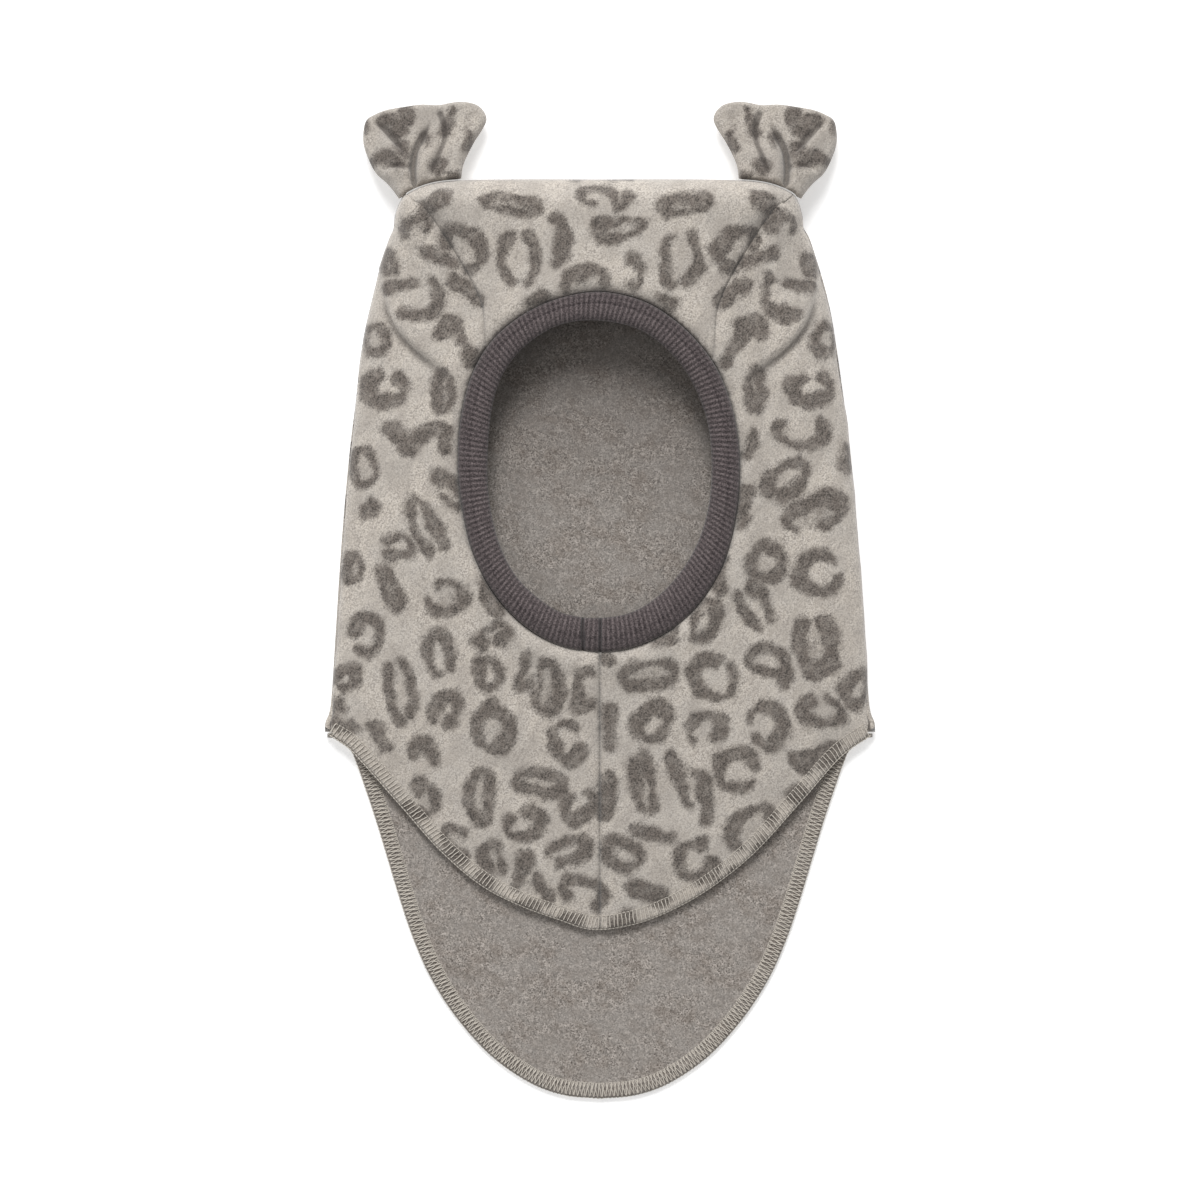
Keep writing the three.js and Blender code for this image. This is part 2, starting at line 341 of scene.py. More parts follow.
# The jacquard as it lies on the flat cloth. Each motif is an oval ring or a part of one: its middle, its
# length and width over the strokes, its turn, where its ring is open (degrees from the oval's own length)
# and how wide, how wide it is open on the far side, the stroke, and how dark its middle is. The chart follows
# the photo over nearly all the visible cloth, which is far more than a small repeat.
# Each row of TWIN_MOTIFS is used twice, the second time mirrored.
TWIN_MOTIFS = (  # x, y, length, width, turn, open_at, gap, far_gap, stroke, middle
    (-68.0, 165.0, 15, 9, 25, 0, 0, 0, 4.0, 0.6),
    (-36.5, 163.5, 26, 10, -9, 0, 0, 0, 4.2, 0.5),
    (-33.5, 141.0, 27, 18, 93, 0, 60, 50, 5.0, 0.1),
    (-56.5, 145.0, 24, 17, 130, 95, 80, 0, 5.0, 0.3),
    (-75.8, 155.0, 15, 12, 20, 250, 130, 0, 4.8, 0.0),
    (-66.2, 141.8, 19, 6, -25, 0, 0, 0, 4.8, 0.0),
    (-87.5, 140.0, 12, 10, 90, 0, 0, 0, 4.5, 0.4),
    (-76.5, 126.3, 23, 21, 0, 150, 190, 0, 5.2, 0.0),
    (-82.6, 130.6, 15, 5, 8, 0, 0, 0, 4.6, 0.0),
    (-55.2, 127.5, 18, 7, -42, 0, 0, 0, 5.0, 0.0),
    (-62.5, 113.0, 14, 10, 20, 0, 0, 0, 5.5, 0.6),
    (-55.0, 103.5, 17, 6, -58, 0, 0, 0, 5.2, 0.0),
    (-94.0, 108.0, 15, 12, 80, 180, 40, 0, 3.8, 0.2),
    (-88.3, 88.1, 22, 17, 0, 90, 50, 0, 5.8, 0.1),
    (-64.6, 86.9, 20, 10, 97, 0, 0, 0, 4.8, 0.5),
    (-27.0, 123.7, 10, 5, 40, 0, 0, 0, 4.5, 0.0),
    (-12.0, 104.0, 19, 13, 10, 270, 70, 0, 4.6, 0.1),
    (-36.0, 88.0, 22, 13, 100, 0, 0, 0, 4.6, 0.4),
    (-12.0, 78.0, 22, 15, 150, 60, 50, 0, 4.8, 0.0),
    (-34.0, 60.0, 22, 12, 80, 0, 60, 40, 4.8, 0.1),
    (-13.0, 50.0, 19, 15, 20, 200, 60, 0, 4.6, 0.2),
    (-31.0, 33.0, 22, 14, 100, 0, 0, 0, 4.8, 0.4),
    (-13.0, 22.0, 20, 14, 60, 120, 70, 0, 4.6, 0.0),
    (-97.0, -90.0, 18, 13, 40, 300, 60, 0, 4.6, 0.1),
    (-79.0, -107.0, 20, 15, 70, 20, 50, 0, 4.8, 0.0),
    (-102.0, -112.0, 23, 12, 100, 0, 0, 50, 4.6, 0.4),
    (-88.6, -127.6, 19, 13, 10, 90, 80, 0, 4.8, 0.0),
    (-64.6, -126.6, 17, 14, 150, 270, 60, 0, 4.6, 0.1),
)
MOTIFS = (  # x, y, length, width, turn, open_at, gap, far_gap, stroke, middle
    (-1.0, 167.0, 18, 12, 0, 300, 60, 0, 3.6, 0.2),
    (9.8, 165.0, 13, 5, 52, 0, 0, 0, 4.0, 0.0),
    (-18.5, 148.7, 24, 12, 90, 90, 190, 0, 5.0, 0.0),
    (7.5, 153.4, 25, 11, 6, 180, 50, 0, 4.4, 0.1),
    (-5.8, 131.5, 21, 13, 8, 262, 150, 0, 5.0, 0.0),
    (13.5, 135.6, 15, 9, 85, 95, 120, 0, 3.8, 0.0),
    (-83.0, 67.5, 17, 5, -40, 0, 0, 0, 5.0, 0.0),
    (-74.0, 68.0, 20, 6, 32, 0, 0, 0, 5.4, 0.0),
    (-64.1, 67.2, 14, 6, 92, 0, 0, 0, 5.0, 0.0),
    (-98.0, 55.5, 19, 14, 100, 0, 0, 0, 4.0, 0.1),
    (-62.4, 45.3, 19, 12, 120, 60, 60, 0, 5.0, 0.3),
    (-95.8, 37.8, 11, 8, 30, 0, 0, 0, 5.0, 0.3),
    (-72.0, 29.5, 32, 13, 118, 180, 90, 0, 4.6, 0.0),
    (-103.0, 13.5, 14, 12, 80, 200, 0, 0, 4.4, 0.5),
    (-86.5, 4.5, 23, 9, 108, 0, 60, 0, 4.6, 0.4),
    (-64.2, 1.0, 20, 17, 0, 150, 60, 0, 4.6, 0.4),
    (-84.0, 22.5, 16, 13, 10, 180, 90, 0, 4.2, 0.1),
    (-45.7, 1.9, 20, 7, 118, 0, 0, 0, 4.8, 0.2),
    (-97.6, -14.6, 20, 15, 80, 120, 70, 0, 5.0, 0.1),
    (-67.1, -22.3, 21, 15, 105, 190, 60, 0, 4.8, 0.0),
    (-44.8, -14.6, 18, 11, 20, 250, 50, 0, 4.6, 0.0),
    (-82.8, -37.8, 31, 14, 100, 10, 70, 60, 4.8, 0.2),
    (-45.6, -31.0, 18, 13, 100, 0, 0, 0, 4.4, 0.0),
    (-29.9, -28.0, 22, 9, 76, 330, 190, 0, 4.8, 0.0),
    (-21.8, -36.4, 25, 13, 84, 0, 0, 0, 4.6, 0.6),
    (-5.6, -37.2, 21, 13, 84, 280, 110, 0, 5.2, 0.0),
    (-105.8, -33.2, 15, 13, 30, 190, 80, 0, 4.8, 0.1),
    (-64.2, -46.0, 18, 13, 60, 20, 50, 60, 4.8, 0.2),
    (-44.8, -53.4, 23, 18, 100, 325, 40, 0, 5.6, 0.3),
    (-13.6, -58.6, 21, 17, 95, 275, 70, 0, 5.2, 0.0),
    (-107.3, -48.6, 18, 12, 140, 230, 90, 0, 4.8, 0.1),
    (-91.4, -56.5, 16, 6, 120, 0, 0, 0, 4.8, 0.0),
    (-73.8, -63.9, 16, 12, 130, 140, 140, 0, 4.8, 0.0),
    (-50.0, -81.6, 25, 13, 88, 0, 0, 0, 4.8, 0.4),
    (-25.5, -75.8, 25, 13, 170, 0, 0, 0, 5.0, 0.4),
    (-73.1, -83.3, 18, 13, 95, 90, 90, 0, 4.8, 0.2),
    (-31.4, -92.9, 19, 15, 20, 100, 40, 0, 5.0, 0.0),
    (-8.5, -85.5, 18, 15, 30, 60, 80, 0, 5.2, 0.1),
    (-59.4, -101.6, 18, 13, 130, 230, 100, 0, 5.0, 0.0),
    (-43.9, -107.6, 17, 12, 90, 180, 90, 0, 4.6, 0.2),
    (-13.6, -104.4, 20, 13, 20, 210, 60, 0, 4.6, 0.0),
    (-32.7, -112.4, 17, 6, 72, 0, 0, 0, 4.6, 0.0),
    (-24.4, -119.8, 16, 6, 120, 0, 0, 0, 4.8, 0.0),
    (-7.0, -121.6, 23, 16, 160, 100, 80, 0, 5.0, 0.0),
    (84.2, 69.5, 25, 15, 0, 90, 110, 0, 5.4, 0.0),
    (62.0, 65.0, 14, 6, 85, 0, 0, 0, 4.6, 0.0),
    (103.0, 60.0, 12, 8, 80, 0, 0, 0, 4.2, 0.0),
    (77.4, 50.3, 24, 16, 35, 200, 50, 0, 5.4, 0.2),
    (89.0, 35.5, 30, 17, 20, 250, 50, 0, 6.5, 0.6),
    (60.3, 38.0, 20, 7, 80, 0, 0, 0, 4.6, 0.0),
    (69.0, 15.9, 19, 18, 70, 0, 0, 0, 5.2, 0.2),
    (91.0, 11.4, 22, 20, 0, 15, 55, 0, 5.2, 0.0),
    (50.5, 10.0, 18, 7, 85, 0, 0, 0, 4.6, 0.0),
    (65.0, -3.0, 26, 15, 122, 0, 80, 60, 5.0, 0.0),
    (43.3, -8.3, 20, 13, 82, 60, 30, 0, 4.4, 0.0),
    (89.8, -18.5, 29, 20, 98, 0, 60, 0, 7.2, 0.5),
    (27.1, -15.5, 13, 10, 20, 70, 70, 0, 4.4, 0.0),
    (69.6, -25.0, 18, 15, -20, 0, 0, 0, 4.4, 0.0),
    (76.7, -32.0, 12, 5, 110, 0, 0, 0, 5.0, 0.0),
    (20.0, -30.6, 27, 14, 5, 0, 0, 0, 4.6, 0.5),
    (47.3, -32.1, 23, 19, -15, 75, 40, 0, 5.4, 0.0),
    (22.0, -51.3, 20, 17, 60, 0, 0, 0, 5.4, 0.0),
    (43.6, -53.9, 18, 15, 20, 250, 80, 0, 4.8, 0.0),
    (69.1, -52.3, 22, 18, 100, 90, 55, 0, 5.4, 0.1),
    (92.4, -46.8, 21, 14, 0, 90, 40, 0, 5.0, 0.0),
    (107.5, -36.7, 18, 14, 70, 0, 0, 0, 4.8, 0.2),
    (18.0, -76.6, 29, 12, 97, 180, 50, 0, 5.0, 0.3),
    (32.7, -74.0, 26, 6, 112, 0, 0, 0, 4.8, 0.0),
    (40.5, -81.2, 26, 13, 105, 85, 190, 0, 5.0, 0.0),
    (57.0, -71.6, 20, 20, 0, 0, 50, 0, 5.4, 0.0),
    (84.0, -67.5, 12, 11, 0, 0, 0, 0, 5.2, 0.8),
    (92.5, -64.0, 16, 5, 28, 0, 0, 0, 5.0, 0.0),
    (82.3, -80.2, 9, 8, 0, 0, 0, 0, 5.0, 0.5),
    (63.0, -94.8, 24, 17, 40, 255, 110, 0, 5.0, 0.3),
    (21.5, -97.4, 20, 6, -12, 0, 0, 0, 5.2, 0.0),
    (9.9, -106.0, 20, 15, 150, 0, 0, 0, 5.2, 0.0),
    (39.8, -108.5, 21, 19, 90, 300, 70, 0, 5.4, 0.0),
    (18.5, -121.7, 20, 9, 160, 0, 0, 0, 5.2, 0.0),
    (-79.5, -88.5, 11, 5, 120, 0, 0, 0, 4.6, 0.0),
    (-60.5, -106.5, 9, 5, 140, 0, 0, 0, 4.6, 0.0),
    (-48.5, -117.0, 9, 5, 150, 0, 0, 0, 4.6, 0.0),
    (-31.0, -127.0, 11, 5, 160, 0, 0, 0, 4.6, 0.0),
    (-12.0, -133.5, 9, 5, 165, 0, 0, 0, 4.6, 0.0),
    (8.0, -134.0, 12, 5, 15, 0, 0, 0, 4.6, 0.0),
    (53.0, -117.5, 12, 5, 40, 0, 0, 0, 4.6, 0.0),
    (67.0, -103.0, 10, 5, 45, 0, 0, 0, 4.6, 0.0),
    (96.0, -67.0, 10, 5, 40, 0, 0, 0, 4.6, 0.0),
    (2.6, -23.5, 8, 5, 90, 0, 0, 0, 4.5, 0.0),
    (3.8, -52.3, 20, 7, 95, 0, 0, 0, 5.0, 0.0),
    (2.8, -81.2, 20, 8, 85, 0, 0, 0, 5.0, 0.0),
)
EAR_MOTIFS = (  # x, y, length, width, turn, open_at, gap, far_gap, stroke, middle
    (88.2, 200.6, 8, 7, 0, 0, 0, 0, 5.2, 1.0),
    (80.6, 201.4, 10, 7, 80, 0, 0, 0, 5.2, 1.0),
    (83.6, 196.4, 10, 6, 70, 0, 0, 0, 5.0, 1.0),
    (63.4, 199.3, 14, 5, 98, 0, 0, 0, 4.0, 0.0),
    (55.2, 191.4, 11, 4, 102, 0, 0, 0, 3.6, 0.0),
    (71.3, 191.6, 5, 4, 60, 0, 0, 0, 2.6, 0.6),
    (67.7, 179.6, 8, 7, 60, 0, 0, 0, 4.6, 1.0),
    (60.6, 176.0, 5, 4, 0, 0, 0, 0, 3.0, 0.4),
    (93.4, 182.6, 9, 5, 145, 0, 0, 0, 4.4, 0.0),
    (86.8, 182.8, 12, 6, 25, 0, 0, 0, 5.2, 0.0),
    (82.2, 186.8, 8, 5, 65, 0, 0, 0, 4.4, 0.0),
    (97.2, 197.5, 6, 3, 95, 0, 0, 0, 2.6, 0.0),
)
STROKE_GAIN = 1.35  # the brushed nap spreads each stroke
SQUARENESS = 0.84  # of the ovals; 1 is a true oval
SLOW_WARP = (11.0, 2.4)  # wavelength and reach of the strokes' wandering
QUICK_WARP = (4.2, 1.0)


def twin(motif):
    x, y, length, width, turn, open_at, *rest = motif
    return (-x, y, length, width, 180 - turn, -open_at, *rest)


HAT_PRINT = MOTIFS + TWIN_MOTIFS + tuple(twin(m) for m in TWIN_MOTIFS)


def print_fields(cloth, motifs=HAT_PRINT, repeat=REPEAT):
    """Signed distance to the print's dark strokes, and how dark the ground is inside a ring."""
    count = len(cloth)
    distance = np.full(count, 9.0)
    middle = np.zeros(count)
    slow = np.column_stack([waves(cloth, SLOW_WARP[0], seed) for seed in (3.1, 53.1)])
    quick = np.column_stack([waves(cloth, QUICK_WARP[0], seed) for seed in (7.9, 67.9)])
    at = cloth + slow * SLOW_WARP[1] + quick * QUICK_WARP[1]
    for k, (x, y, length, width, turn, open_at, gap, far_gap, stroke, dark) in enumerate(motifs):
        d = at - (x, y)
        d -= np.round(d / repeat) * repeat
        close = np.flatnonzero(np.abs(d).max(1) < length / 2 + 8)
        a = math.radians(turn)
        lx = d[close, 0] * math.cos(a) + d[close, 1] * math.sin(a)
        ly = d[close, 1] * math.cos(a) - d[close, 0] * math.sin(a)
        stroke = stroke + STROKE_GAIN
        rx, ry = (length + 1.0 - stroke) / 2, max(0.05, (width + 1.0 - stroke) / 2)
        angles = np.arange(0, 360, 6.0)
        away = np.abs((angles - open_at + 180) % 360 - 180)
        kept = angles[(away > gap / 2) & (180 - away > far_gap / 2)]
        swell = 0.2 * np.sin(np.radians(kept + 83 * k)) + 0.14 * np.sin(np.radians(kept * 3 + 31 * k))
        t = np.radians(kept)
        ring_x = rx * np.sign(np.cos(t)) * np.abs(np.cos(t)) ** SQUARENESS
        ring_y = ry * np.sign(np.sin(t)) * np.abs(np.sin(t)) ** SQUARENESS
        ring = np.hypot(lx[:, None] - ring_x, ly[:, None] - ring_y)
        distance[close] = np.minimum(distance[close], (ring - stroke / 2 * (1 + swell)).min(1))
        within = 1 - np.clip(np.hypot(lx / rx, ly / max(ry, 1.0)), 0, 1) ** (2 + 4 * dark)
        middle[close] = np.maximum(middle[close], dark * within)
    return distance, middle


# ---- Panels ----
def net(outline, spacing, rows=()):
    """Points and triangles that fill an outline, with an even net inside and the given rows kept."""
    kept = [row[inside(row, outline)] for row in rows]
    kept = np.vstack(kept) if kept else np.zeros((0, 2))
    if len(kept):
        kept = kept[near_path(kept, np.vstack([outline, outline[:1]]))[0] > spacing * 0.3]
    lo, hi = outline.min(0), outline.max(0)
    height = spacing * math.sqrt(3) / 2
    grid = []
    for j, y in enumerate(np.arange(lo[1], hi[1], height)):
        x = np.arange(lo[0] + (j % 2) * spacing / 2, hi[0], spacing)
        grid.append(np.stack([x, np.full(len(x), y)], axis=1))
    grid = np.vstack(grid)
    grid = grid[inside(grid, outline)]
    grid = grid[near_path(grid, np.vstack([outline, outline[:1]]))[0] > spacing * 0.55]
    if len(kept):
        edge_distance, _, fold = hood(grid)
        grid = grid[edge_distance > fold + spacing * 0.4]
    points = np.vstack([outline, kept, grid])
    count = len(outline)
    edges = [(i, (i + 1) % count) for i in range(count)]
    done = delaunay_2d_cdt([Vector(p) for p in points], edges, [], 0, 1e-5)
    made = np.array([(v.x, v.y) for v in done[0]])
    triangles = np.array(done[2])
    centres = made[triangles].mean(1)
    triangles = triangles[inside(centres, outline)]
    a, b, c = (made[triangles[:, k]] for k in range(3))
    turned = (b[:, 0] - a[:, 0]) * (c[:, 1] - a[:, 1]) - (b[:, 1] - a[:, 1]) * (c[:, 0] - a[:, 0]) < 0
    triangles[turned] = triangles[turned][:, ::-1]
    used = np.unique(triangles)
    renumber = np.full(len(made), -1)
    renumber[used] = np.arange(len(used))
    return made[used], renumber[triangles]


FOLD_ROWS = 8


def fold_rows(edge_path):
    """Rows of points beside the silhouette, close together where the cloth turns down."""
    rows = []
    inward = np.gradient(edge_path, axis=0)
    inward = np.stack([-inward[:, 1], inward[:, 0]], axis=1)
    inward /= np.linalg.norm(inward, axis=1, keepdims=True)
    fold = curve([(y, f) for y, _, f in HEIGHTS], edge_path[:, 1])
    for k in range(1, FOLD_ROWS + 1):
        depth = fold * (1 - math.cos(math.pi / 2 * k / FOLD_ROWS))
        rows.append(edge_path + inward * depth[:, None])
    return rows


def normals_of(points, triangles):
    a, b, c = (points[triangles[:, k]] for k in range(3))
    face = np.cross(b - a, c - a)
    total = np.zeros_like(points)
    for k in range(3):
        np.add.at(total, triangles[:, k], face)
    return total / np.maximum(np.linalg.norm(total, axis=1, keepdims=True), 1e-12)


def rim_of(triangles):
    """Edges that only one triangle uses, in that triangle's direction."""
    edges = np.vstack([triangles[:, [0, 1]], triangles[:, [1, 2]], triangles[:, [2, 0]]])
    key = np.sort(edges, axis=1)
    _, first, count = np.unique(key, axis=0, return_index=True, return_counts=True)
    return edges[first[count == 1]]


def hollows(points, triangles, rounds=8):
    """How far each point lies in below the middle of its surroundings: folds and seams are hollow."""
    edges = np.vstack([triangles[:, [0, 1]], triangles[:, [1, 2]], triangles[:, [2, 0]]])
    edges = np.unique(np.sort(edges, axis=1), axis=0)
    a, b = np.concatenate([edges[:, 0], edges[:, 1]]), np.concatenate([edges[:, 1], edges[:, 0]])
    count = np.maximum(np.bincount(a, minlength=len(points)), 1)
    evened = points
    for _ in range(rounds):
        evened = np.stack(
            [np.bincount(a, weights=evened[b, k], minlength=len(points)) / count for k in range(3)], axis=1
        )
    return ((evened - points) * normals_of(points, triangles)).sum(1)


def add_mesh(name, points, faces, materials, face_material=None, fields=None):
    mesh = bpy.data.meshes.new(name)
    mesh.from_pydata((points * MM).tolist(), [], [list(map(int, f)) for f in faces])
    for material in materials:
        mesh.materials.append(material)
    if face_material is not None:
        mesh.polygons.foreach_set("material_index", np.asarray(face_material, np.int32))
    mesh.polygons.foreach_set("use_smooth", np.ones(len(mesh.polygons), bool))
    for key, values in (fields or {}).items():
        layer = mesh.attributes.new(key, "FLOAT", "POINT")
        layer.data.foreach_set("value", np.asarray(values, np.float32))
    mesh.update()
    piece = bpy.data.objects.new(name, mesh)
    bpy.context.scene.collection.objects.link(piece)
    return piece


# y where the wrong side is darkest. The darkening stands in for the shade inside the hood.
INNER_SHADE_LENGTH = 125.0


def add_cloth(name, points, triangles, cloth, materials):
    """A panel: its right side, its wrong side one wall further in, and the rim between them."""
    count = len(points)
    wrong = points - normals_of(points, triangles) * WALL
    rim = rim_of(triangles)
    a, b = rim[:, 0], rim[:, 1]
    sides = np.vstack([np.stack([b, a, a + count], 1), np.stack([b, a + count, b + count], 1)])
    faces = np.vstack([triangles, triangles[:, ::-1] + count, sides])
    material = np.concatenate([np.zeros(len(triangles)), np.ones(len(triangles)), np.zeros(len(sides))])
    distance, middle = print_fields(cloth)
    # Painted shade: how far each point lies in, which the shader turns into darker colour.
    hollow = hollows(points, triangles)
    fields = {"print": distance, "print_middle": middle, "hollow": hollow}
    fields = {key: np.tile(values, 2) for key, values in fields.items()}
    # Painted shade on the wrong side: it grows towards the crown, for the shade inside the hood.
    fields["hollow"][count:] = np.clip(points[:, 1] / INNER_SHADE_LENGTH, 0, 1)
    return add_mesh(name, np.vstack([points, wrong]), faces, materials, material, fields)


# ---- Seams, folds and the hang of the cloth ----
crown_seam = smooth_path(CROWN_SEAM, 1.0)
cheek_fold = smooth_path(CHEEK_FOLD, 1.0)
front_hem = smooth_path(FRONT_HEM, NET)
back_hem_half = smooth_path(BACK_HEM, NET)
BACK_HEM_PATH = np.vstack([back_hem_half, mirror(back_hem_half)[1:]])
face_edge = smooth_path(FACE_EDGE, 1.0, closed=True)
FACE_MIDDLE = 53.0  # y


def bell(d, width):
    return np.exp(-((d / width) ** 2))


def waves(points, scale, seed):
    return np.array([noise.noise(Vector((x / scale, y / scale, seed))) for x, y in points])


def fold_over(points, path, side, rise, drop, reach, edge=0.7):
    """Cloth that bulges on one side of a path and goes in under it on the other, strongest half way along."""
    d, place, along = near_path(points, path)
    way = np.gradient(path, axis=0)
    k = np.clip(np.round(along * (len(path) - 1)).astype(int), 0, len(path) - 1)
    across = way[k, 0] * (points[:, 1] - place[:, 1]) - way[k, 1] * (points[:, 0] - place[:, 0])
    signed = np.where(across >= 0, d, -d) * side
    ends = np.sin(np.pi * np.clip(along, 0.04, 0.96))
    over = 0.5 + 0.5 * np.tanh(signed / edge)
    return ends * (rise * over * bell(d, reach) - drop * (1 - over) * bell(d, reach * 0.45))


def upper_relief(points):
    """How far the upper surface stands out of its plain shape."""
    mirrored = points * np.array([-1.0, 1.0])
    relief = 1.1 * waves(points, 34.0, 1.7) + 0.45 * waves(points, 13.0, 5.2)
    for p in (points, mirrored):
        d, _, along = near_path(p, crown_seam)
        groove = (0.4 + 1.6 * along) * np.clip((1 - along) * 14, 0, 1)
        relief += -groove * bell(d, 1.4 + 1.2 * along) + 1.8 * along * bell(d - 8.0, 5.5)
        relief += fold_over(p, cheek_fold, -1.0, 2.6, 1.8, 12.0, 1.3)
    below = points[:, 1] < FACE_MIDDLE
    chin = np.abs(points[:, 0] - CHIN_SEAM_X)
    relief += below * (-0.9 * bell(chin, 1.2) + 0.4 * bell(chin - 5.0, 3.5))
    d = near_path(points, face_edge)[0]
    relief += -1.8 * bell(d, 1.5) + 1.0 * bell(d - 6.0, 4.5)
    hem = near_path(points, front_hem)[0]
    relief += -2.6 * bell(hem, 12.0) + 0.5 * bell(hem, 16.0) * waves(points, 17.0, 2.4)
    return relief


def on_upper(points):
    return np.column_stack([points, upper_surface(points)])


def relieve(points, triangles, relief):
    return points + normals_of(points, triangles) * relief[:, None]


def crown_seam_of(side):
    """One side's crown seam from the face edge up, and the face edge's place where it starts."""
    seam = crown_seam * np.array([side, 1.0])
    seam = seam[~inside(seam, face_edge)]
    start = int(np.linalg.norm(face_edge - seam[0], axis=1).argmin())
    far = np.linalg.norm(seam - face_edge[start], axis=1) > 0.8
    return seam[far], start


def front_panel(name, side, materials):
    """A cheek and half of the front bib. Its outline runs up the chin seam and round the face."""
    flip = np.array([side, 1.0])
    seam, start = crown_seam_of(side)
    count = len(face_edge)
    chin = int(np.where(face_edge[:, 1] < 0, np.abs(face_edge[:, 0]), 99).argmin())
    steps = (start - chin) % count if side > 0 else (chin - start) % count
    face = face_edge[(chin + side * np.arange(1, steps + 1)) % count] * flip
    hem = front_hem * flip
    hem = hem[np.argsort(hem[:, 0])]
    foot = hem[np.abs(hem[:, 0]).argmin(), 1]
    hem = hem[hem[:, 0] > 0.4]
    top = face_edge[chin, 1]
    middle = even(np.array([(SEAM_GAP, foot), (SEAM_GAP, top)]), NET)
    edge = half_edge[half_edge[:, 1] < CROWN_SEAM[-1][1] - 0.1]
    seam = seam * flip + (SEAM_GAP, 0.0)
    outline = np.vstack([middle, face, seam, edge[::-1], hem[::-1][1:]])[::-1]
    flat, triangles = net(outline, NET, fold_rows(edge))
    if side < 0:
        flat = flat * flip
        triangles = triangles[:, ::-1]
    points = relieve(on_upper(flat), triangles, upper_relief(flat))
    return add_cloth(name, points, triangles, unrolled(flat), materials)


def back_panel(name, materials):
    """Forehead and crown on the upper surface, joined over the crown's edge to the back on the lower one."""
    crown_edge = half_edge[half_edge[:, 1] >= CROWN_SEAM[-1][1] - 0.1]
    ridge = np.vstack([crown_edge, mirror(crown_edge)[1:]])
    (left_seam, left_start), (right_seam, right_start) = crown_seam_of(1), crown_seam_of(-1)
    face = face_edge[left_start : right_start + 1]
    inward = np.array([SEAM_GAP, 0.0])
    outline = np.vstack([left_seam[:-1] - inward, ridge, right_seam[:-1][::-1] + inward, face[::-1]])
    rows = fold_rows(half_edge) + [mirror(r) for r in fold_rows(half_edge)]
    upper, upper_triangles = net(outline, NET, rows)
    outline = np.vstack([SILHOUETTE, mirror(BACK_HEM_PATH)[1:-1]])
    lower, lower_triangles = net(outline, NET * 1.1, rows)
    top = on_upper(upper)
    top = relieve(top, upper_triangles, upper_relief(upper) * np.clip(hood(upper)[0] / 6.0, 0, 1))
    bottom = np.column_stack([lower, lower_surface(lower)])
    points = np.vstack([top, bottom])
    triangles = np.vstack([upper_triangles, lower_triangles[:, ::-1] + len(upper)])
    ridge_v = CROWN[-1][1] + HEIGHTS[0][2] * (math.pi / 2 - 1)
    under = unrolled(lower)
    under[:, 1] = 2 * ridge_v - under[:, 1]
    cloth = np.vstack([unrolled(upper), under])
    points, triangles, kept = weld(points, triangles)
    return add_cloth(name, points, triangles, cloth[kept], materials)


def weld(points, triangles):
    """Joins points that coincide. Returns the points, the triangles and which points were kept."""
    _, kept, renumber = np.unique(np.round(points, 3), axis=0, return_index=True, return_inverse=True)
    triangles = renumber.reshape(-1)[triangles]
    whole = (triangles != np.roll(triangles, 1, axis=1)).all(axis=1)
    return points[kept], triangles[whole], kept


# ---- Materials ----
def srgb(r, g, b):
    def linear(c):
        c /= 255
        return c / 12.92 if c <= 0.04045 else ((c + 0.055) / 1.055) ** 2.4

    return (linear(r), linear(g), linear(b), 1.0)


class Nodes:
    """A material's node tree, with one line for each node."""

    def __init__(self, name, roughness, sheen):
        self.material = bpy.data.materials.new(name)
        self.material.use_nodes = True
        self.tree = self.material.node_tree
        self.shader = self.tree.nodes["Principled BSDF"]
        self.shader.inputs["Roughness"].default_value = roughness
        self.shader.inputs["Sheen Weight"].default_value = sheen
        self.shader.inputs["Sheen Roughness"].default_value = 0.6
        self.shader.inputs["Specular IOR Level"].default_value = 0.15
        self.place = self.add("TexCoord").outputs["Object"]

    def add(self, kind, **sockets):
        node = self.tree.nodes.new("ShaderNode" + kind)
        for key, value in sockets.items():
            self.set(node, key.replace("_", " ").title(), value)
        return node

    def set(self, node, key, value):
        socket = node.inputs[key]
        if isinstance(value, bpy.types.NodeSocket):
            self.tree.links.new(value, socket)
        else:
            socket.default_value = value

    def noise(self, scale, detail=2.0, stretch=(1, 1, 1), turn=0.0):
        turned = self.add("Mapping", vector=self.place, rotation=(0, 0, turn)).outputs[0]
        mapped = self.add("Mapping", vector=turned, scale=stretch).outputs[0]
        return self.add("TexNoise", vector=mapped, scale=scale, detail=detail).outputs["Fac"]

    def field(self, name):
        node = self.tree.nodes.new("ShaderNodeAttribute")
        node.attribute_name = name
        return node.outputs["Fac"]

    def math(self, operation, a, b=0.0, c=0.0):
        node = self.tree.nodes.new("ShaderNodeMath")
        node.operation = operation
        for k, value in enumerate((a, b, c)):
            self.set(node, k, value)
        return node.outputs[0]

    def ramp(self, value, low, high, to_low=0.0, to_high=1.0):
        node = self.add("MapRange", value=value, from_min=low, from_max=high, to_min=to_low, to_max=to_high)
        node.interpolation_type = "SMOOTHSTEP"
        return node.outputs[0]

    def mix(self, share, a, b):
        node = self.tree.nodes.new("ShaderNodeMix")
        node.data_type = "RGBA"
        self.set(node, 0, share)
        self.set(node, 6, a)
        self.set(node, 7, b)
        return node.outputs[2]

    def finish(self, colour, height, strength, distance):
        self.set(self.shader, "Base Color", colour)
        bump = self.add("Bump", height=height, strength=strength, distance=distance)
        self.tree.links.new(bump.outputs[0], self.shader.inputs["Normal"])
        return self.material


# Colour of painted shade, mixed into the jersey where it is shaded.
PAINTED_SHADE_COLOUR = srgb(60, 54, 51)
# Painted shade laid evenly over the ears' colour.
EAR_PAINTED_SHADE = 0.15  # darkens the ears to match the photo


